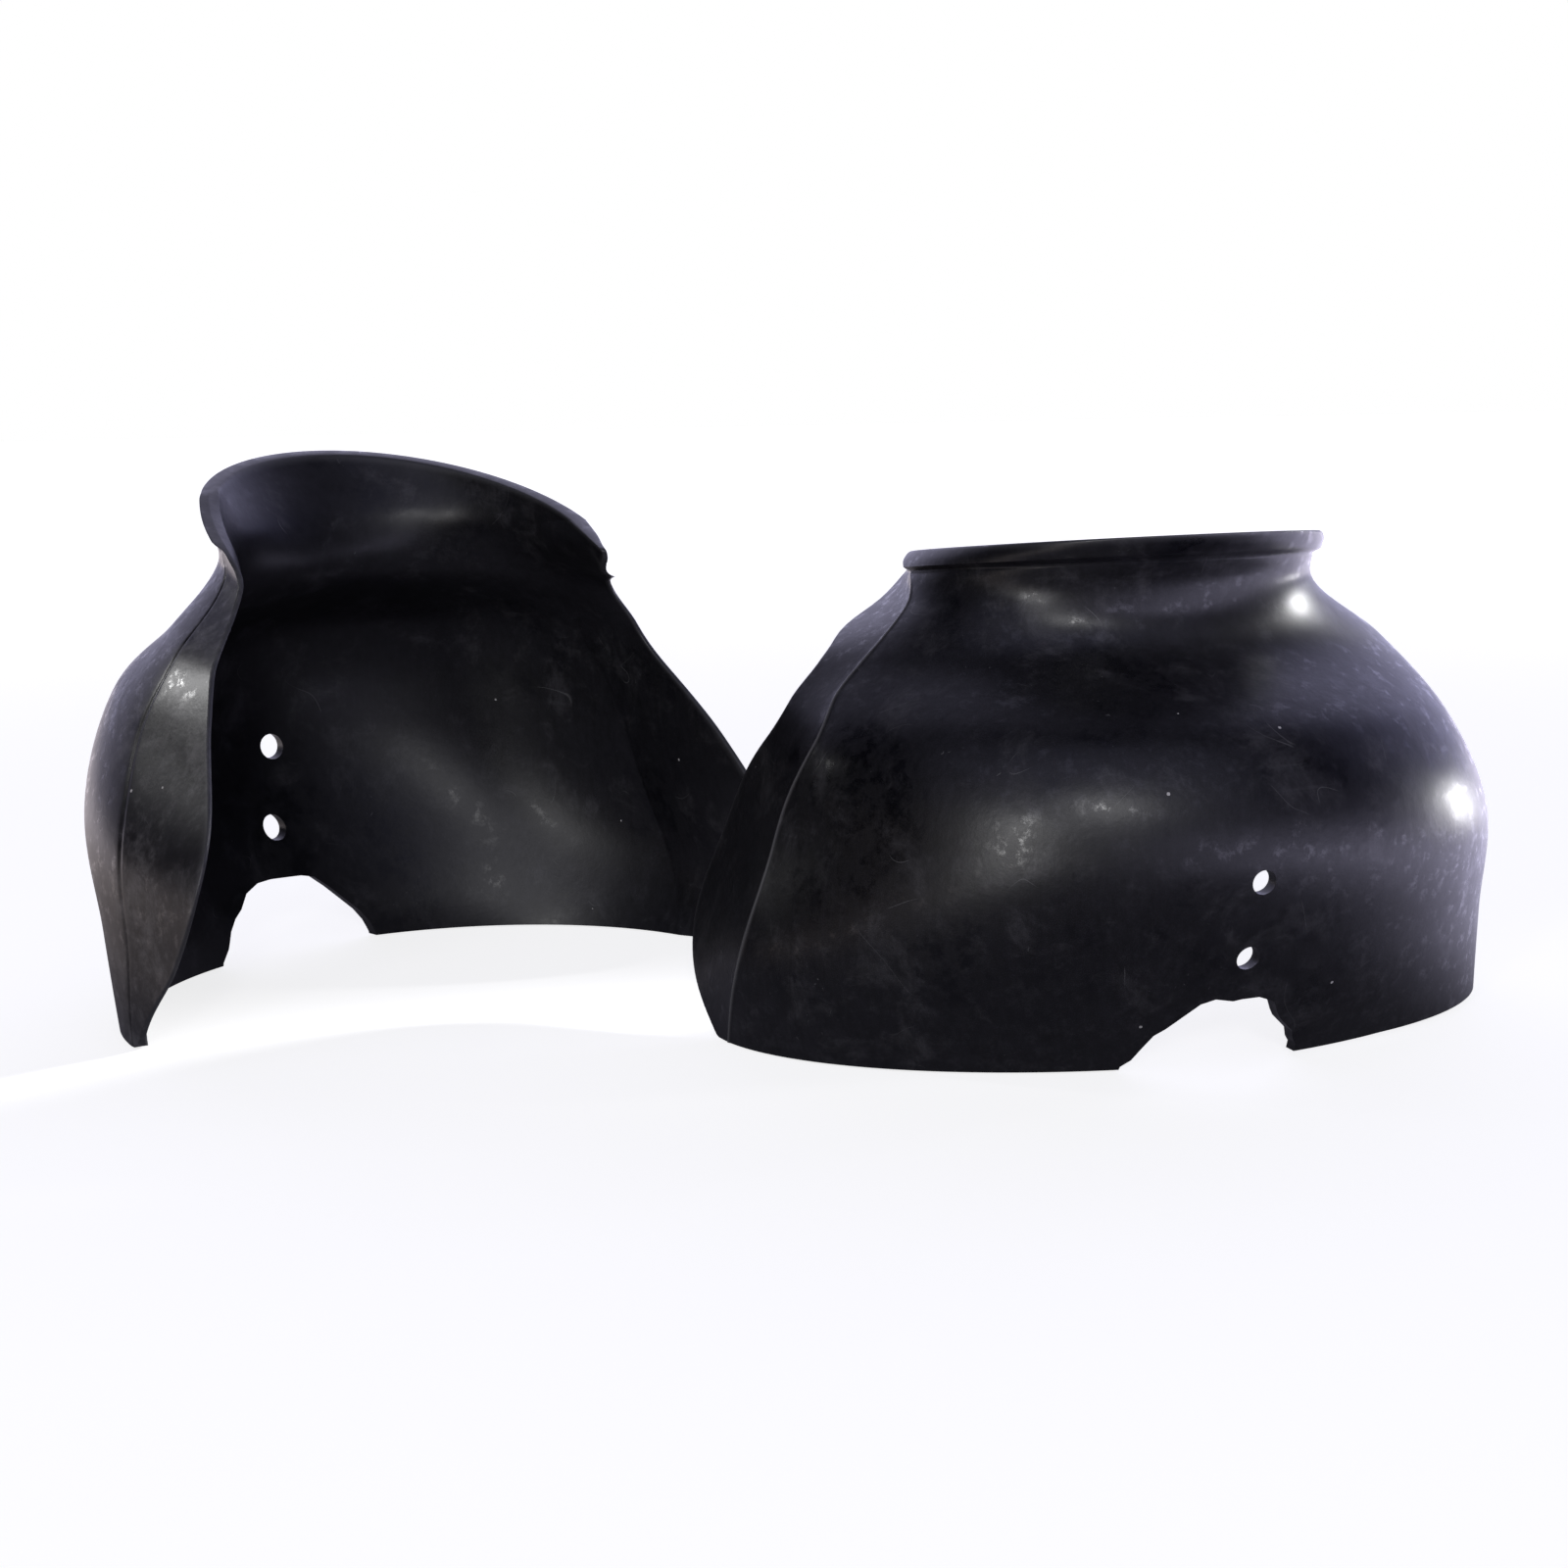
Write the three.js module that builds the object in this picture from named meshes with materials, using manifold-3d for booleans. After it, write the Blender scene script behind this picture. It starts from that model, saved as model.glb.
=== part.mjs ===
// A pair of moulded rubber guard shells. Each is a short bell, open down one side: a collar with a
// raised band, a narrow neck, and a skirt that bulges and turns in a little at its foot. Each free
// edge is a crescent strip, flat across, that turns in from a moulded crease. Two holes for a lace
// or a strap stand one above the other, over a notch cut by hand in the foot.
// Millimetres, +Z up. The origin is on the floor, under the middle of the pair.

import * as THREE from 'three';
import { mergeVertices } from 'three/addons/utils/BufferGeometryUtils.js';
import Module from 'manifold-3d';

const wasm = await Module();
wasm.setup();

// Driving dimensions.
const WALL = 3.2; // thickness of the moulded rubber
const LIP = 1.2; // its thickness at the free edges: the strips taper
const BAND_OUT = 1.2; // how far the band round the rim stands out
const BAND_SHARE = 0.04; // its height, as a share of the shell's
const HOLE_SIDES = 20;
const FOOT_REACH = 0.2; // how far up a guard's own foot shape reaches, as a share of its height
const RIM_REACH = 0.1; // and how far down its own rim shape does
const BODY_STEPS = 44; // facets from crease to crease
const STRIP_STEPS = 3; // facets across a strip
const HEIGHT_STEPS = 22; // facets from the foot to the band
const RUBBER = { color: 0x17171a, roughness: 0.42, metalness: 0 };
const DEGREES = Math.PI / 180;

// The bell's level sections: half width, half depth and middle (x, y), at a share of the height.
const SECTIONS = [
  { share: 0.0, wide: 87, deep: 53, x: -1, y: 0 },
  { share: 0.2, wide: 88.5, deep: 68, x: -1, y: 1 },
  { share: 0.42, wide: 84, deep: 76, x: 4.5, y: -1 },
  { share: 0.62, wide: 75.5, deep: 65, x: 4, y: -7 },
  { share: 0.78, wide: 65.5, deep: 43, x: 3.5, y: -4 },
  { share: 0.9, wide: 48, deep: 41, x: 6, y: -5 },
  { share: 1.0, wide: 46, deep: 49, x: 8.5, y: -7 },
];

// Where the creases and the free edges stand, in degrees round from the back.
const EDGES = [
  { share: 0.0, nearCrease: 87, nearEdge: 90, farCrease: 76, farEdge: 82 },
  { share: 0.2, nearCrease: 91, nearEdge: 104, farCrease: 68, farEdge: 105 },
  { share: 0.5, nearCrease: 92, nearEdge: 113, farCrease: 70, farEdge: 98 },
  { share: 0.7, nearCrease: 89, nearEdge: 109, farCrease: 63, farEdge: 79 },
  { share: 0.8, nearCrease: 85, nearEdge: 102, farCrease: 58, farEdge: 75 },
  { share: 0.88, nearCrease: 80, nearEdge: 92, farCrease: 67, farEdge: 102 },
  { share: 0.95, nearCrease: 75, nearEdge: 84, farCrease: 81, farEdge: 118 },
  { share: 1.0, nearCrease: 50, nearEdge: 56, farCrease: 100, farEdge: 124 },
];

// The two guards: place on the floor, turn, how the shell leans and its rim slopes, how much its
// mouth is squeezed, how its foot and rim differ from the table, and the hand-made holes and notch.
const GUARDS = [
  {
    name: 'left_guard_shell',
    x: -74.3, y: 3.9, turn: 215, height: 106,
    lean: [-3, 0], rimSlope: [-0.035, -0.265], squeeze: [0.91, 1.13],
    foot: { wide: -3, deep: 9, x: 2, y: 1 },
    rim: { wide: 0, deep: 0, x: 0, y: 0 },
    holes: [{ around: 9, z: 29.4, radius: 3.1 }, { around: 3.4, z: 48.4, radius: 3.1 }],
    notch: [[21.5, -2], [21.5, 1], [18, 8], [12, 15.5], [4, 18], [-8.5, 17], [-22.5, 1], [-22.5, -2]],
  },
  {
    name: 'right_guard_shell',
    x: 70.7, y: -16.1, turn: 10, height: 102.6,
    lean: [-4, 16.5], rimSlope: [0.01, -0.1], squeeze: [1, 1],
    foot: { wide: 0, deep: 0, x: 0, y: 0 },
    rim: { wide: -2, deep: 0, x: 2, y: 0 },
    holes: [{ around: 8.2, z: 24.5, radius: 2.5 }, { around: 6.7, z: 40.8, radius: 2.5 }],
    notch: [[15, -2], [15, 2], [8.3, 11], [6.3, 14.5], [-7, 15.5], [-17, 7.5], [-22.5, 1], [-22.5, -2]],
  },
];

// Reads a table of stations at a share of the height, along a smooth curve through the stations.
function stationAt(stations, share) {
  const last = stations.length - 1;
  let i = 0;
  while (i < last - 1 && share > stations[i + 1].share) i += 1;
  const [a, b] = [stations[i], stations[i + 1]];
  const before = stations[Math.max(i - 1, 0)];
  const after = stations[Math.min(i + 2, last)];
  const span = b.share - a.share;
  const s = (share - a.share) / span;
  const station = {};
  for (const key of Object.keys(a)) {
    const slopeA = ((b[key] - before[key]) / (b.share - before.share)) * span;
    const slopeB = ((after[key] - a[key]) / (after.share - a.share)) * span;
    station[key] =
      (2 * s ** 3 - 3 * s ** 2 + 1) * a[key] + (s ** 3 - 2 * s ** 2 + s) * slopeA +
      (3 * s ** 2 - 2 * s ** 3) * b[key] + (s ** 3 - s ** 2) * slopeB;
  }
  return station;
}

// A point of the bell's section, at an angle round from the back, and moved in from the outside.
function sectionPoint(guard, share, degrees, inset) {
  const section = stationAt(SECTIONS, share);
  const nearFoot = Math.max(0, 1 - share / FOOT_REACH) ** 2;
  const nearRim = Math.max(0, 1 - (1 - share) / RIM_REACH) ** 2;
  for (const key of Object.keys(guard.foot)) {
    section[key] += nearFoot * guard.foot[key] + nearRim * guard.rim[key];
  }
  const [across, along] = [Math.sin(degrees * DEGREES), -Math.cos(degrees * DEGREES)];
  const [narrower, deeper] = guard.squeeze;
  return new THREE.Vector2(
    narrower * (section.x + section.wide * across) - inset * across + guard.lean[0] * share,
    deeper * (section.y + section.deep * along) - inset * along + guard.lean[1] * share,
  );
}

// A point of the shell's wall. Across runs from -2, the far free edge, over -1 and 1, the creases,
// to 2, the near free edge. The wall is ruled straight between a crease and its free edge.
function wallPoint(guard, across, share, inset) {
  const edges = stationAt(EDGES, share);
  const near = across > 0;
  const crease = near ? edges.nearCrease : -edges.farCrease;
  const edge = near ? edges.nearEdge : -edges.farEdge;
  let point;
  if (Math.abs(across) <= 1) {
    const degrees = THREE.MathUtils.mapLinear(across, -1, 1, -edges.farCrease, edges.nearCrease);
    point = sectionPoint(guard, share, degrees, inset);
  } else {
    point = sectionPoint(guard, share, crease, inset);
    point.lerp(sectionPoint(guard, share, edge, Math.min(inset, LIP)), Math.abs(across) - 1);
  }
  const rim = guard.height + guard.rimSlope[0] * point.x + guard.rimSlope[1] * point.y;
  return new THREE.Vector3(point.x, point.y, share * rim);
}

function steps(from, to, count) {
  return Array.from({ length: count }, (_, i) => from + ((to - from) * i) / count);
}

const ACROSS = [
  ...steps(-2, -1, STRIP_STEPS),
  ...steps(-1, 1, BODY_STEPS),
  ...steps(1, 2, STRIP_STEPS),
  2,
];
const SHARES = [
  ...steps(0, 1 - BAND_SHARE, HEIGHT_STEPS),
  1 - BAND_SHARE,
  1 - BAND_SHARE * 0.9,
  1,
];

// Bends a slab, divided into facets, to the shape of the wall.
function bentSlab(guard) {
  const slab = new THREE.BoxGeometry(1, 1, 1, ACROSS.length - 1, SHARES.length - 1, 1);
  slab.deleteAttribute('normal');
  slab.deleteAttribute('uv');
  const wall = mergeVertices(slab);
  const corners = wall.attributes.position;
  for (let i = 0; i < corners.count; i += 1) {
    const across = ACROSS[Math.round((corners.getX(i) + 0.5) * (ACROSS.length - 1))];
    const row = Math.round((corners.getY(i) + 0.5) * (SHARES.length - 1));
    const band = row > SHARES.length - 3 ? BAND_OUT : 0;
    const inset = corners.getZ(i) > 0 ? -band : WALL;
    const point = wallPoint(guard, across, SHARES[row], inset);
    corners.setXYZ(i, point.x, point.y, point.z);
  }
  return wall;
}

function toSolid(geometry) {
  const bare = geometry.clone();
  bare.deleteAttribute('normal');
  bare.deleteAttribute('uv');
  const merged = mergeVertices(bare);
  return new wasm.Manifold(new wasm.Mesh({
    numProp: 3,
    vertProperties: new Float32Array(merged.attributes.position.array),
    triVerts: new Uint32Array(merged.index.array),
  }));
}

function toGeometry(solid) {
  const mesh = solid.getMesh();
  const geometry = new THREE.BufferGeometry();
  geometry.setAttribute('position', new THREE.BufferAttribute(mesh.vertProperties, 3));
  geometry.setIndex(new THREE.BufferAttribute(mesh.triVerts, 1));
  geometry.computeVertexNormals();
  return geometry;
}

// A cutter that goes out through the wall, square to it, at an angle round from the back.
function throughWall(cutter, guard, degrees, z) {
  const middle = sectionPoint(guard, z / guard.height, degrees, WALL / 2);
  const outward = new THREE.Vector3(Math.sin(degrees * DEGREES), -Math.cos(degrees * DEGREES), 0);
  const up = new THREE.Vector3(0, 0, 1);
  const sideways = new THREE.Vector3().crossVectors(up, outward);
  const frame = new THREE.Matrix4().makeBasis(sideways, up, outward);
  frame.setPosition(middle.x, middle.y, z);
  return cutter.applyMatrix4(frame);
}

function hole(guard, { around, z, radius }) {
  const drill = new THREE.CylinderGeometry(radius, radius, 30, HOLE_SIDES);
  return throughWall(drill.rotateX(90 * DEGREES), guard, around, z);
}

function notch(guard) {
  const outline = new THREE.Shape(guard.notch.map(([x, y]) => new THREE.Vector2(x, y)));
  const blade = new THREE.ExtrudeGeometry(outline, { depth: 60, bevelEnabled: false });
  return throughWall(blade.translate(0, 0, -30), guard, guard.holes[0].around, 0);
}

function guardShell(guard) {
  const cutters = [notch(guard), ...guard.holes.map((place) => hole(guard, place))];
  const whole = toSolid(bentSlab(guard));
  const solid = cutters.reduce((rest, cutter) => rest.subtract(toSolid(cutter)), whole);
  const shell = new THREE.Mesh(toGeometry(solid), new THREE.MeshStandardMaterial(RUBBER));
  shell.name = guard.name;
  shell.position.set(guard.x, guard.y, 0);
  shell.rotation.z = guard.turn * DEGREES;
  return shell;
}

const pair = new THREE.Group();
GUARDS.forEach((guard) => pair.add(guardShell(guard)));

export default pair;
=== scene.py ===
"""A pair of moulded black rubber guard shells, in metres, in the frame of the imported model.

Each shell repeats the shape of its CAD solid at a finer grain: the collar's raised band, the
creases, the flat crescent strips along the free edges, the lace holes and the hand-cut notch.
"""
import math

import bmesh
import bpy
import numpy as np
from mathutils import Matrix, Vector, kdtree


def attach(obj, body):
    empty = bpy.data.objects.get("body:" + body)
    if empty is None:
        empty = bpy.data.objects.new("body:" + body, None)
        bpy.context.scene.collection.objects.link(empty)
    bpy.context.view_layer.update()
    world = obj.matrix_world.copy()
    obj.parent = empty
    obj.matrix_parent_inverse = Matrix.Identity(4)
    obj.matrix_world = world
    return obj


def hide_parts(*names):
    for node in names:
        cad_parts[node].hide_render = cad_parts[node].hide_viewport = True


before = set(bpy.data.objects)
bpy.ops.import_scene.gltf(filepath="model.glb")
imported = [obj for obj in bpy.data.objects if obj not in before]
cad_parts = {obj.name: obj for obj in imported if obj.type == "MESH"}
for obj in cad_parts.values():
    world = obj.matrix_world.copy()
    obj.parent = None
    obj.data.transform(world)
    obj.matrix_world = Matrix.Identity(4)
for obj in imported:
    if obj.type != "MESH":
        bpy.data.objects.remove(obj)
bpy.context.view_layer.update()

# Millimetres and shares of the height, as in the CAD.
MM = 0.001
WALL = 3.2  # thickness of the rubber
LIP = 1.2  # its thickness at the free edges
BAND_OUT = 1.2  # how far the band round the rim stands out
BAND_SHARE = 0.04  # its height
FOOT_REACH = 0.2  # how far up a guard's own foot shape reaches
RIM_REACH = 0.1  # and how far down its own rim shape does

EDGE_ROUND = 0.55  # radius of the rounded rims, only here
BODY_STEPS, STRIP_STEPS, CORNER_STEPS = 170, 14, 4  # facets: crease to crease, strip, corner
HOLE_SIDES = 48
SHARP_ANGLE = 40  # degrees

# The bell's level sections, as in the CAD: share of the height, half width, half depth, middle.
SECTIONS = np.array([
    [0.0, 87, 53, -1, 0],
    [0.2, 88.5, 68, -1, 1],
    [0.42, 84, 76, 4.5, -1],
    [0.62, 75.5, 65, 4, -7],
    [0.78, 65.5, 43, 3.5, -4],
    [0.9, 48, 41, 6, -5],
    [1.0, 46, 49, 8.5, -7],
])

# Degrees round from the back: near crease, near edge, far crease, far edge.
EDGES = np.array([
    [0.0, 87, 90, 76, 82],
    [0.2, 91, 104, 68, 105],
    [0.5, 92, 113, 70, 98],
    [0.7, 89, 109, 63, 79],
    [0.8, 85, 102, 58, 75],
    [0.88, 80, 92, 67, 102],
    [0.95, 75, 84, 81, 118],
    [1.0, 50, 56, 100, 124],
])

GUARDS = {
    "left_guard_shell": dict(
        body="left_shell", x=-74.3, y=3.9, turn=215, height=106,
        lean=(-3, 0), rim_slope=(-0.035, -0.265), squeeze=(0.91, 1.13),
        foot=(-3, 9, 2, 1), rim=(0, 0, 0, 0),
        foot_lift=((-2, 0), (1, 0), (2, 1.2)),
        corners={"near": (2.6, 0.8), "far": (0.8, 3.0)}, crease_out=-0.3,
        holes=((9, 29.4, 3.1), (3.4, 48.4, 3.1)),
        notch=((21.5, -2), (21.2, 0.8), (19.3, 3.8), (18, 7.8), (16.1, 10.5), (13.7, 12.4),
               (11.2, 15.7), (7.2, 17.5), (3.2, 17.8), (-5.6, 17.4), (-9, 16.6), (-12.6, 13.5),
               (-19.2, 6.8), (-21.3, 3.8), (-22.8, 0.5), (-23, -2)),
    ),
    "right_guard_shell": dict(
        body="right_shell", x=70.7, y=-16.1, turn=10, height=102.6,
        lean=(-4, 16.5), rim_slope=(0.01, -0.1), squeeze=(1, 1),
        foot=(0, 0, 0, 0), rim=(-2, 0, 2, 0),
        foot_lift=((-2, 0), (0, 0), (0.35, 1.4), (1, 2), (2, 2)),
        corners={"near": (0.8, 0.8), "far": (0.8, 0.8)}, crease_out=0.3,
        holes=((8.2, 24.5, 2.5), (6.7, 40.8, 2.5)),
        notch=((15.3, -2), (15, 2.4), (13.9, 3.8), (13, 6), (9.2, 9.4), (8.1, 11), (6.7, 13.6),
               (4.6, 14.5), (2.8, 15.2), (-1, 15.1), (-2.9, 14.8), (-6.8, 15.6), (-9.8, 14.7),
               (-12.2, 12.6), (-15.8, 9.3), (-17.8, 7.9), (-19.5, 5), (-21, 2.2), (-22.9, 0.7),
               (-23.3, -2)),
    ),
}


def station_at(table, share):
    """Reads a table along a smooth curve through its stations, as the CAD does."""
    keys, values = table[:, 0], table[:, 1:]
    share = np.asarray(share, float)
    last = len(keys) - 1
    a = np.clip(np.searchsorted(keys, share, side="left") - 1, 0, last - 1)
    b = a + 1
    before, after = np.maximum(a - 1, 0), np.minimum(a + 2, last)
    span = (keys[b] - keys[a])[..., None]
    s = (share - keys[a])[..., None] / span
    slope_a = (values[b] - values[before]) / (keys[b] - keys[before])[..., None] * span
    slope_b = (values[after] - values[a]) / (keys[after] - keys[a])[..., None] * span
    found = (
        (2 * s**3 - 3 * s**2 + 1) * values[a] + (s**3 - 2 * s**2 + s) * slope_a
        + (3 * s**2 - 2 * s**3) * values[b] + (s**3 - s**2) * slope_b
    )
    return np.moveaxis(found, -1, 0)


def section_point(guard, share, degrees, inset):
    near_foot = np.clip(1 - share / FOOT_REACH, 0, 1) ** 2
    near_rim = np.clip(1 - (1 - share) / RIM_REACH, 0, 1) ** 2
    wide, deep, x, y = (
        value + at_foot * near_foot + at_rim * near_rim
        for value, at_foot, at_rim in zip(station_at(SECTIONS, share), guard["foot"], guard["rim"])
    )
    across, along = np.sin(np.radians(degrees)), -np.cos(np.radians(degrees))
    narrower, deeper = guard["squeeze"]
    return (
        narrower * (x + wide * across) - inset * across + guard["lean"][0] * share,
        deeper * (y + deep * along) - inset * along + guard["lean"][1] * share,
    )


def wall_point(guard, across, share, inset):
    """A point of the wall: across runs from -2, the far free edge, to 2, the near free edge."""
    near_crease, near_edge, far_crease, far_edge = station_at(EDGES, share)
    near = across > 0
    crease = np.where(near, near_crease, -far_crease)
    edge = np.where(near, near_edge, -far_edge)
    turn = -far_crease + (near_crease + far_crease) * (np.clip(across, -1, 1) + 1) / 2
    x, y = section_point(guard, share, turn, inset)
    crease_x, crease_y = section_point(guard, share, crease, inset)
    lip = np.where(inset > 0, inset * LIP / WALL, inset)
    edge_x, edge_y = section_point(guard, share, edge, lip)
    out = np.clip(np.abs(across) - 1, 0, None)
    on_strip = np.abs(across) > 1
    x = np.where(on_strip, crease_x + (edge_x - crease_x) * out, x)
    y = np.where(on_strip, crease_y + (edge_y - crease_y) * out, y)
    rim = guard["height"] + guard["rim_slope"][0] * x + guard["rim_slope"][1] * y
    lift = np.interp(across, *zip(*guard["foot_lift"])) * np.clip(1 - share / FOOT_REACH, 0, 1)
    return np.stack((x, y, share * rim + lift), axis=-1)


def smooth_step(value, low, high):
    s = np.clip((value - low) / (high - low), 0, 1)
    return s * s * (3 - 2 * s)


def strip_length(guard, share, side):
    """The width in millimetres of the strip on that side, -1 for the far one and 1 for the near."""
    ends = wall_point(guard, np.array([1.0, 2.0]) * side, np.full(2, share), np.zeros(2))
    return np.linalg.norm(ends[1] - ends[0])


def corner_round(guard, side, share):
    """How far a free edge is held back where its foot and rim corners are rounded off."""
    at_foot, at_rim = guard["corners"][side]
    height = share * guard["height"]
    from_foot = np.clip(1 - height / at_foot, 0, 1)
    from_rim = np.clip(1 - (guard["height"] - height) / at_rim, 0, 1)
    return at_foot * (1 - np.sqrt(1 - from_foot**2)) + at_rim * (1 - np.sqrt(1 - from_rim**2))


def across_list():
    """Columns from one free edge to the other, closer together at the creases and the edges."""
    strip = 1 + 0.5 * (1 - np.cos(np.linspace(0, math.pi, STRIP_STEPS + 1)))
    strip = np.concatenate(([1, 1.01, 1.022, 1.036], strip[2:]))
    middle = np.linspace(-1, 1, BODY_STEPS + 1)[1:-1]
    close = 1 - np.array([0, 0.003, 0.006, 0.009])
    middle = np.concatenate((-close, middle, close[::-1]))
    return np.concatenate((-strip[:0:-1], middle, strip[1:]))


def share_list(height):
    """Rows from the foot to the rim, closer together at the collar's band."""
    foot = [0, 0.0025, 0.006, 0.011, 0.018]
    low = np.concatenate((foot, np.linspace(0.026, 1 - BAND_SHARE - 0.012, 74)))
    step = np.linspace(1 - BAND_SHARE - 0.01, 1 - BAND_SHARE + 0.014, 9)
    band = np.linspace(1 - BAND_SHARE + 0.018, 1 - EDGE_ROUND / height, 6)
    return np.concatenate((low, step, band))


def crease_line(across, share, width):
    """1 on a crease, fading over its width in millimetres, and none on the collar."""
    from_crease = np.abs(np.abs(across) - 1) * np.where(np.abs(across) > 1, 18, 70)
    return np.exp(-((from_crease / width) ** 2)) * (1 - smooth_step(share, 0.9, 0.95))


def outer_relief(guard, across, share):
    """How far the outside stands out from the plain bell: the band, the groove, the creases."""
    band = BAND_OUT * smooth_step(share, 1 - BAND_SHARE - 0.003, 1 - BAND_SHARE + 0.005)
    band = band * (1 - smooth_step(-across, 1.4, 1.9)) * (1 - 0.3 * smooth_step(share, 0.975, 1))
    groove = -0.25 * np.exp(-(((share - (1 - BAND_SHARE - 0.006)) / 0.004) ** 2))
    return band + groove + guard["crease_out"] * crease_line(across, share, 0.45)


def zone_colours(guard, across, share, depth):
    """What the material reads: inside, a painted highlight along the raised crease, a painted highlight
    along the free edges and the top rim, and the near strip.
    """
    # Painted highlight: a pale line along the raised crease of the right shell, standing in for the light
    # its ridge catches.
    crease = (guard["crease_out"] > 0) * crease_line(across, share, 0.3) * (depth < 0.1 * WALL)
    # Painted highlight: a paler band along both free edges and the top rim, standing in for the light
    # their rounded rims catch.
    edge = smooth_step(np.abs(across), 1.94, 2.0)
    edge = np.maximum(edge, smooth_step(share, 0.985, 1.0))
    return np.stack((depth / WALL, crease, edge, smooth_step(across, 0.85, 1.0)), axis=-1)


def shell_mesh(name, guard):
    """The bent slab with rounded rims, before its holes and its notch are cut."""
    columns = across_list()
    corner = np.linspace(0, math.pi / 2, CORNER_STEPS + 1)
    rows = [(share, 0.0) for share in share_list(guard["height"])]
    for angle in corner[1:]:
        share = 1 - EDGE_ROUND * (1 - math.sin(angle)) / guard["height"]
        rows.append((share, EDGE_ROUND * (1 - math.cos(angle))))
    rounded = [(EDGE_ROUND * (1 - math.sin(a)), EDGE_ROUND * (1 - math.cos(a))) for a in corner]
    end = rounded + [(0.0, WALL / 2)] + [(e, WALL - d) for e, d in rounded[::-1]]
    rings, zones = [], []
    for share, pull in rows:
        ring = []
        for side in (1, -1):
            length = strip_length(guard, share, side)
            margin = 1 - 1.4 * EDGE_ROUND / length
            face = columns if side == 1 else columns[::-1]
            face = np.where(np.abs(face) > 1, np.sign(face) * (1 + (np.abs(face) - 1) * margin), face)
            depth = np.zeros_like(face) if side == 1 else np.full_like(face, WALL)
            ring += [(a, d) for a, d in zip(face, depth)]
            ending = end if side == 1 else [(e, WALL - d) for e, d in end]
            ring += [(side * (2 - e / length), d) for e, d in ending]
        ring = np.array(ring)
        across, depth = ring[:, 0], ring[:, 1]
        length = np.where(across > 0, strip_length(guard, share, 1), strip_length(guard, share, -1))
        held_back = pull + np.where(
            across > 0, corner_round(guard, "near", share), corner_round(guard, "far", share)
        )
        across = np.where(
            np.abs(across) > 1,
            np.sign(across) * (np.abs(across) - held_back / length * (np.abs(across) - 1)),
            across,
        )
        relief = outer_relief(guard, across, share) * (1 - depth / WALL)
        inset = pull + depth * (WALL - 2 * pull) / WALL - relief
        rings.append(wall_point(guard, across, np.full(len(across), share), inset))
        zones.append(zone_colours(guard, across, share, depth))
    count = len(rings[0])
    face_count = len(columns)
    end_count = len(end)
    mesh = bmesh.new()
    layer = mesh.verts.layers.float_color.new("zones")
    verts = [[mesh.verts.new(Vector(p) * MM) for p in ring] for ring in rings]
    for ring, colours in zip(verts, zones):
        for vert, colour in zip(ring, colours):
            vert[layer] = colour
    for low, high in zip(verts, verts[1:]):
        for i in range(count):
            j = (i + 1) % count
            mesh.faces.new((low[i], low[j], high[j], high[i]))
    inside = face_count + end_count

    def cap(ring, turned):
        def add(corners):
            mesh.faces.new(corners[::-1] if turned else corners)
        for i in range(face_count - 1):
            k = inside + face_count - 1 - i
            add((ring[i], ring[i + 1], ring[k - 1], ring[k]))
        add([ring[i] for i in range(face_count - 1, inside + 1)])
        add([ring[i % count] for i in range(inside + face_count - 1, count + 1)])

    cap(verts[0], True)
    cap(verts[-1], False)
    bmesh.ops.recalc_face_normals(mesh, faces=mesh.faces)
    data = bpy.data.meshes.new(name)
    mesh.to_mesh(data)
    mesh.free()
    return data


def place(obj, guard):
    """Turns the mesh itself to its place, so that the object stays at the origin."""
    obj.data.transform(
        Matrix.Translation((guard["x"] * MM, guard["y"] * MM, 0))
        @ Matrix.Rotation(math.radians(guard["turn"]), 4, "Z")
    )


def through_wall(guard, degrees, z):
    """Axes at the middle of the wall: sideways, up and outward, as in the CAD."""
    x, y = section_point(guard, np.array(z / guard["height"]), degrees, WALL / 2)
    turn = math.radians(degrees)
    outward = Vector((math.sin(turn), -math.cos(turn), 0))
    up = Vector((0, 0, 1))
    sideways = up.cross(outward)
    basis = Matrix((sideways, up, outward)).transposed().to_4x4()
    return Matrix.Translation(Vector((float(x), float(y), z)) * MM) @ basis


def prism(name, outline, low, high):
    """A closed prism over an outline, in millimetres."""
    mesh = bmesh.new()
    bottom = [mesh.verts.new(Vector((x, y, low)) * MM) for x, y in outline]
    top = [mesh.verts.new(Vector((x, y, high)) * MM) for x, y in outline]
    mesh.faces.new(bottom[::-1])
    mesh.faces.new(top)
    for i in range(len(outline)):
        j = (i + 1) % len(outline)
        mesh.faces.new((bottom[i], bottom[j], top[j], top[i]))
    bmesh.ops.recalc_face_normals(mesh, faces=mesh.faces)
    data = bpy.data.meshes.new(name)
    mesh.to_mesh(data)
    mesh.free()
    return bpy.data.objects.new(name, data)


def cut(piece, cutter):
    """Takes the cutter away from the piece for good."""
    bpy.context.scene.collection.objects.link(cutter)
    change = piece.modifiers.new("cut", "BOOLEAN")
    change.operation = "DIFFERENCE"
    change.solver = "EXACT"
    change.object = cutter
    bpy.context.view_layer.update()
    seen = piece.evaluated_get(bpy.context.evaluated_depsgraph_get())
    data = bpy.data.meshes.new_from_object(seen)
    piece.modifiers.clear()
    old = piece.data
    piece.data = data
    bpy.data.meshes.remove(old)
    bpy.data.objects.remove(cutter)


def keep_zones(piece, source):
    """Gives each corner the zones of the nearest corner from before the cuts."""
    tree = kdtree.KDTree(len(source.vertices))
    for i, vert in enumerate(source.vertices):
        tree.insert(vert.co, i)
    tree.balance()
    old = source.attributes["zones"].data
    if "zones" in piece.data.attributes:
        piece.data.attributes.remove(piece.data.attributes["zones"])
    new = piece.data.attributes.new("zones", "FLOAT_COLOR", "POINT")
    for i, vert in enumerate(piece.data.vertices):
        new.data[i].color = old[tree.find(vert.co)[1]].color


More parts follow.
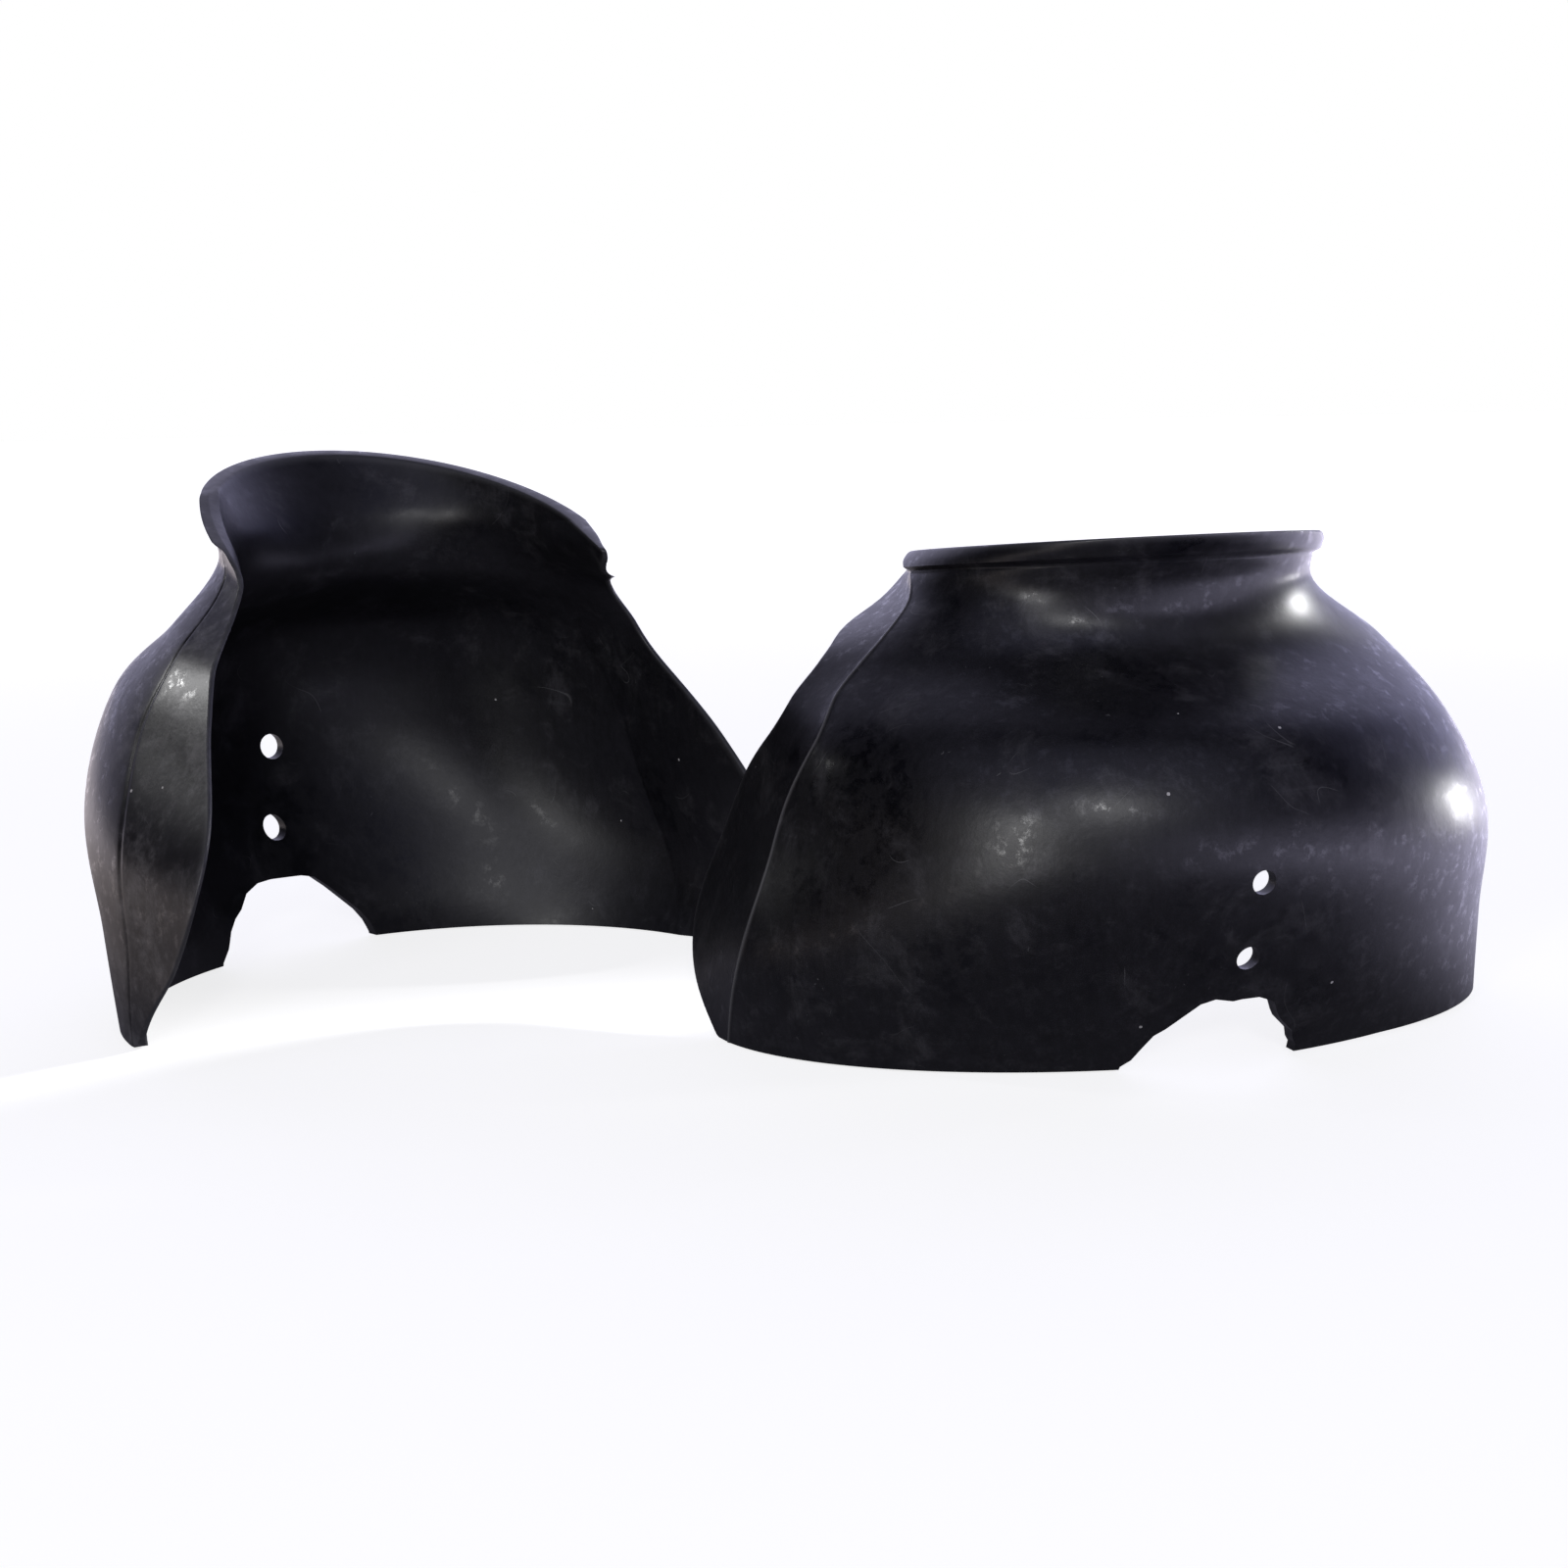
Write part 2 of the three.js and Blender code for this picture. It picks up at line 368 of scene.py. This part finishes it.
def make_shell(name, guard):
    piece = bpy.data.objects.new(name.replace("_guard", "_rubber"), shell_mesh(name, guard))
    bpy.context.scene.collection.objects.link(piece)
    bpy.context.view_layer.update()
    uncut = piece.data.copy()
    for degrees, z, radius in guard["holes"]:
        circle = [
            (radius * math.cos(a), radius * math.sin(a))
            for a in np.linspace(0, 2 * math.pi, HOLE_SIDES, endpoint=False)
        ]
        drill = prism("drill", circle, -15, 15)
        drill.matrix_world = through_wall(guard, degrees, z)
        cut(piece, drill)
    blade = prism("blade", guard["notch"], -30, 30)
    blade.matrix_world = through_wall(guard, guard["holes"][0][0], 0)
    cut(piece, blade)
    keep_zones(piece, uncut)
    bpy.data.meshes.remove(uncut)
    place(piece, guard)
    piece.data.polygons.foreach_set("use_smooth", [True] * len(piece.data.polygons))
    piece.data.set_sharp_from_angle(angle=math.radians(SHARP_ANGLE))
    return piece


# Material.

def add_node(tree, kind, **settings):
    node = tree.nodes.new(kind)
    for key, value in settings.items():
        setattr(node, key, value)
    return node


def noise_field(tree, coords, scale, detail=4.0, roughness=0.5, distortion=0.0):
    field = add_node(tree, "ShaderNodeTexNoise")
    field.inputs["Scale"].default_value = scale
    field.inputs["Detail"].default_value = detail
    field.inputs["Roughness"].default_value = roughness
    field.inputs["Distortion"].default_value = distortion
    tree.links.new(coords, field.inputs["Vector"])
    return field.outputs["Fac"]


def remap(tree, value, low, high, to_low=0.0, to_high=1.0):
    node = add_node(tree, "ShaderNodeMapRange", interpolation_type="SMOOTHSTEP")
    for key, number in zip(("From Min", "From Max", "To Min", "To Max"), (low, high, to_low, to_high)):
        node.inputs[key].default_value = number
    tree.links.new(value, node.inputs["Value"])
    return node.outputs["Result"]


def combine(tree, operation, first, second):
    node = add_node(tree, "ShaderNodeMath", operation=operation)
    for socket, value in zip(node.inputs, (first, second)):
        if isinstance(value, (int, float)):
            socket.default_value = value
        else:
            tree.links.new(value, socket)
    return node.outputs[0]


def blend_colour(tree, amount, first, second):
    node = add_node(tree, "ShaderNodeMix", data_type="RGBA")
    tree.links.new(amount, node.inputs["Factor"])
    for name, value in (("A", first), ("B", second)):
        socket = next(i for i in node.inputs if i.name == name and i.type == "RGBA")
        if isinstance(value, tuple):
            socket.default_value = (*value, 1)
        else:
            tree.links.new(value, socket)
    return next(o for o in node.outputs if o.type == "RGBA")


def shade_colour(tree, colour, amount):
    node = add_node(tree, "ShaderNodeVectorMath", operation="SCALE")
    tree.links.new(colour, node.inputs[0])
    tree.links.new(amount, node.inputs["Scale"])
    return node.outputs[0]


def stretched(tree, coords, scale):
    node = add_node(tree, "ShaderNodeMapping")
    node.inputs["Scale"].default_value = scale
    tree.links.new(coords, node.inputs["Vector"])
    return node.outputs["Vector"]


def rubber_material():
    """Old black rubber: cloudy grey bloom, scuffs, fine grain and a few pale specks, with highlights
    painted along the raised crease and the rims.
    """
    material = bpy.data.materials.new("moulded_rubber")
    material.use_nodes = True
    tree = material.node_tree
    shader = tree.nodes["Principled BSDF"]
    coords = add_node(tree, "ShaderNodeTexCoord").outputs["Object"]
    zones = add_node(tree, "ShaderNodeAttribute", attribute_name="zones")
    zone = add_node(tree, "ShaderNodeSeparateColor")
    tree.links.new(zones.outputs["Color"], zone.inputs[0])
    inside, crease, edge = zone.outputs
    strip = zones.outputs["Alpha"]

    # Dull bloom nearly everywhere, worn through to blacker rubber in mottled patches.
    zone_of_wear = remap(tree, noise_field(tree, coords, 26, 5, 0.6, 0.6), 0.44, 0.64)
    mottle = noise_field(tree, coords, 230, 6, 0.7)
    worn = combine(tree, "MULTIPLY", zone_of_wear, remap(tree, mottle, 0.42, 0.6))
    dusty = remap(tree, noise_field(tree, coords, 75, 7, 0.72, 0.4), 0.5, 0.7)
    polish = remap(tree, noise_field(tree, coords, 260, 5, 0.75), 0.52, 0.66)
    smears = remap(tree, noise_field(tree, stretched(tree, coords, (30, 30, 420)), 1, 4, 0.6), 0.58, 0.74)
    smears = combine(tree, "MULTIPLY", smears, dusty)
    powder = remap(tree, noise_field(tree, coords, 70, 8, 0.8, 0.3), 0.46, 0.66)
    powder = combine(tree, "MULTIPLY", powder, strip)
    brushed = noise_field(tree, stretched(tree, coords, (700, 700, 110)), 1, 4, 0.7)
    uneven = combine(tree, "ADD", combine(tree, "MULTIPLY", brushed, 0.7), mottle)
    uneven = remap(tree, uneven, 0.55, 1.15, 0.55, 1.5)
    rubbed = noise_field(tree, stretched(tree, coords, (160, 160, 90)), 4, 2, 0.7, 1.2)
    scuffs = remap(tree, rubbed, 0.69, 0.75)
    scuffs = combine(tree, "MULTIPLY", scuffs, remap(tree, noise_field(tree, coords, 55, 2), 0.56, 0.64))
    contour = noise_field(tree, coords, 38, 1, 0.4, 0.8)
    contour = combine(tree, "ABSOLUTE", combine(tree, "SUBTRACT", contour, 0.5), 0)
    scratches = combine(tree, "LESS_THAN", contour, 0.0016)
    kept = remap(tree, noise_field(tree, coords, 75, 2, 0.5), 0.58, 0.66)
    scuffs = combine(tree, "MAXIMUM", scuffs, combine(tree, "MULTIPLY", scratches, kept))
    speck_cells = add_node(tree, "ShaderNodeTexVoronoi", feature="F1")
    speck_cells.inputs["Scale"].default_value = 250
    tree.links.new(coords, speck_cells.inputs["Vector"])
    speck_pick = add_node(tree, "ShaderNodeSeparateColor")
    tree.links.new(speck_cells.outputs["Color"], speck_pick.inputs[0])
    rare = combine(tree, "GREATER_THAN", speck_pick.outputs[0], 0.96)
    small = combine(tree, "LESS_THAN", speck_cells.outputs["Distance"], 0.085)
    specks = combine(tree, "MULTIPLY", rare, small)

    colour = blend_colour(tree, worn, (0.0085, 0.0082, 0.0102), (0.0018, 0.0018, 0.003))
    colour = blend_colour(tree, combine(tree, "MULTIPLY", dusty, 0.65), colour, (0.040, 0.039, 0.042))
    colour = blend_colour(tree, combine(tree, "MULTIPLY", powder, 0.7), colour, (0.085, 0.083, 0.085))
    colour = shade_colour(tree, colour, uneven)
    colour = blend_colour(tree, combine(tree, "MULTIPLY", smears, 0.5), colour, (0.06, 0.06, 0.065))
    # Painted highlight: the pale line along the raised crease.
    colour = blend_colour(tree, combine(tree, "MULTIPLY", crease, 0.55), colour, (0.24, 0.235, 0.24))
    # Painted highlight: the paler band along the free edges and the top rim.
    colour = blend_colour(tree, combine(tree, "MULTIPLY", edge, 0.35), colour, (0.12, 0.12, 0.125))
    colour = blend_colour(tree, combine(tree, "MULTIPLY", scuffs, 0.5), colour, (0.13, 0.13, 0.13))
    colour = blend_colour(tree, specks, colour, (0.5, 0.49, 0.47))
    tree.links.new(colour, shader.inputs["Base Color"])
    rough = combine(tree, "SUBTRACT", 0.37, combine(tree, "MULTIPLY", worn, 0.1))
    rough = combine(tree, "ADD", rough, combine(tree, "MULTIPLY", inside, 0.06))
    tree.links.new(rough, shader.inputs["Roughness"])
    less_inside = combine(tree, "SUBTRACT", 0.6, combine(tree, "MULTIPLY", inside, 0.5))
    shine = combine(tree, "MULTIPLY", polish, less_inside)
    tree.links.new(shine, shader.inputs["Coat Weight"])
    shader.inputs["Coat Roughness"].default_value = 0.2

    grain = noise_field(tree, coords, 900, 3, 0.6)
    waves = noise_field(tree, coords, 120, 3, 0.5)
    height = combine(tree, "ADD", combine(tree, "MULTIPLY", grain, 0.25), waves)
    bump = add_node(tree, "ShaderNodeBump")
    bump.inputs["Strength"].default_value = 0.3
    bump.inputs["Distance"].default_value = 0.0003
    tree.links.new(height, bump.inputs["Height"])
    tree.links.new(bump.outputs["Normal"], shader.inputs["Normal"])
    return material


# Camera, shells, floor and light.

LENS, SENSOR = 57.87, 36  # millimetres
CAMERA_AT = (0.0017, -0.5621, 0.146)
CAMERA_DOWN, CAMERA_ROLL = 9.9, -1.16  # degrees

camera_data = bpy.data.cameras.new("camera")
camera_data.lens = LENS
camera_data.sensor_width = SENSOR
camera_data.clip_start = 0.01
camera = bpy.data.objects.new("camera", camera_data)
bpy.context.scene.collection.objects.link(camera)
camera.matrix_world = (
    Matrix.Translation(CAMERA_AT)
    @ Matrix.Rotation(math.radians(90 - CAMERA_DOWN), 4, "X")
    @ Matrix.Rotation(math.radians(CAMERA_ROLL), 4, "Z")
)
bpy.context.scene.camera = camera

rubber = rubber_material()
for node_name, settings in GUARDS.items():
    shell = make_shell(node_name, settings)
    shell.data.materials.clear()
    shell.data.materials.append(rubber)
    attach(shell, settings["body"])
    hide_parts(node_name)


def glow(tree, kind, colour, strength):
    """A plain source of light: an Emission or a Background node."""
    node = add_node(tree, kind)
    node.inputs["Color"].default_value = (*colour, 1)
    if isinstance(strength, (int, float)):
        node.inputs["Strength"].default_value = strength
    else:
        tree.links.new(strength, node.inputs["Strength"])
    return node.outputs[0]


def add_up(tree, shaders):
    total = shaders[0]
    for shader in shaders[1:]:
        node = add_node(tree, "ShaderNodeAddShader")
        tree.links.new(total, node.inputs[0])
        tree.links.new(shader, node.inputs[1])
        total = node.outputs[0]
    return total


def to_camera(tree, shed, seen, out):
    """Sends one shader to the camera and another to everything else."""
    path = add_node(tree, "ShaderNodeLightPath")
    choose = add_node(tree, "ShaderNodeMixShader")
    tree.links.new(path.outputs["Is Camera Ray"], choose.inputs["Fac"])
    tree.links.new(shed, choose.inputs[1])
    tree.links.new(seen, choose.inputs[2])
    tree.links.new(choose.outputs[0], tree.nodes[out].inputs["Surface"])


def floor_material():
    """Pale to the camera. In the rubber's gloss it is brighter behind and beside the pair."""
    material = bpy.data.materials.new("studio_floor")
    material.use_nodes = True
    tree = material.node_tree
    pale = tree.nodes["Principled BSDF"]
    pale.inputs["Base Color"].default_value = (0.5, 0.5, 0.5, 1)
    pale.inputs["Roughness"].default_value = 0.9
    pale.inputs["Emission Color"].default_value = (1, 1, 1, 1)
    coords = add_node(tree, "ShaderNodeTexCoord").outputs["Object"]
    parts = add_node(tree, "ShaderNodeSeparateXYZ")
    tree.links.new(coords, parts.inputs[0])
    x, y, _ = parts.outputs
    distance = add_node(tree, "ShaderNodeVectorMath", operation="LENGTH")
    tree.links.new(coords, distance.inputs[0])
    far = remap(tree, distance.outputs["Value"], 0.3, 1.6, 0.8, 1.0)
    tree.links.new(far, pale.inputs["Emission Strength"])
    shed = add_up(tree, [
        glow(tree, "ShaderNodeEmission", (0.80, 0.78, 1.0), 0.12),
        glow(tree, "ShaderNodeEmission", (0.95, 0.88, 1.0), remap(tree, y, 0.05, 0.35, 0, 1.1)),
        glow(tree, "ShaderNodeEmission", (1.0, 0.85, 0.78), remap(tree, x, -0.13, -0.3, 0, 0.5)),
        glow(tree, "ShaderNodeEmission", (0.75, 0.72, 1.0), remap(tree, x, 0.13, 0.26, 0, 2.0)),
    ])
    to_camera(tree, shed, pale.outputs[0], "Material Output")
    return material


bpy.ops.mesh.primitive_plane_add(size=8)
floor = bpy.context.object
floor.name = "studio_floor"
floor.location = (0, 0, -0.0005)
floor.data.materials.append(floor_material())


def soft_light(
    name, azimuth, elevation, distance, width, height, power, at=(0, 0, 0.05), spread=180
):
    """An area light that looks at a point. Azimuth 0 is on the camera's side, 90 to the right."""
    turn, rise = math.radians(azimuth), math.radians(elevation)
    towards = Vector((
        math.sin(turn) * math.cos(rise), -math.cos(turn) * math.cos(rise), math.sin(rise)
    ))
    data = bpy.data.lights.new(name, "AREA")
    data.shape = "RECTANGLE"
    data.size, data.size_y = width, height
    data.spread = math.radians(spread)
    data.energy = power
    light = bpy.data.objects.new(name, data)
    light.location = towards * distance + Vector(at)
    light.rotation_euler = (-towards).to_track_quat("-Z", "Y").to_euler()
    light.visible_camera = False
    bpy.context.scene.collection.objects.link(light)


def studio_world():
    """White to the camera. What it sheds on the rubber comes from behind and from above."""
    world = bpy.data.worlds.new("studio")
    world.use_nodes = True
    tree = world.node_tree
    direction = add_node(tree, "ShaderNodeTexCoord").outputs["Generated"]

    def lobe(axis, low, strength):
        node = add_node(tree, "ShaderNodeVectorMath", operation="DOT_PRODUCT")
        tree.links.new(direction, node.inputs[0])
        node.inputs[1].default_value = Vector(axis).normalized()
        return remap(tree, node.outputs["Value"], low, 1.0, 0, strength)

    shed = add_up(tree, [
        glow(tree, "ShaderNodeBackground", (0.73, 0.71, 1.0), lobe((0, 1, 0.1), 0.3, 1.1)),
        glow(tree, "ShaderNodeBackground", (0.56, 0.56, 1.0), lobe((0.75, 0.65, 0.1), 0.6, 0.65)),
        glow(tree, "ShaderNodeBackground", (0.70, 0.70, 1.0), lobe((0, -0.7, 0.7), 0.6, 0.5)),
    ])
    seen = glow(tree, "ShaderNodeBackground", (1, 1, 1), 1.0)
    to_camera(tree, shed, seen, "World Output")
    bpy.context.scene.world = world


studio_world()
soft_light("front_light", -23, 8, 1.6, 0.14, 0.3, 4.0)
soft_light("high_front_light", 3, 23, 1.6, 0.12, 0.2, 3.3)
soft_light("right_light", 116, 1, 0.35, 0.05, 0.05, 0.0105, (0.155, 0.0, 0.04), 20)
soft_light("high_right_light", 106, 24, 0.35, 0.05, 0.05, 0.03, (0.12, 0.01, 0.085), 12)
soft_light("left_light", -104, 29, 0.3, 0.02, 0.02, 0.0011, (-0.122, -0.033, 0.079), 14)
bpy.context.scene.view_settings.view_transform = "Standard"
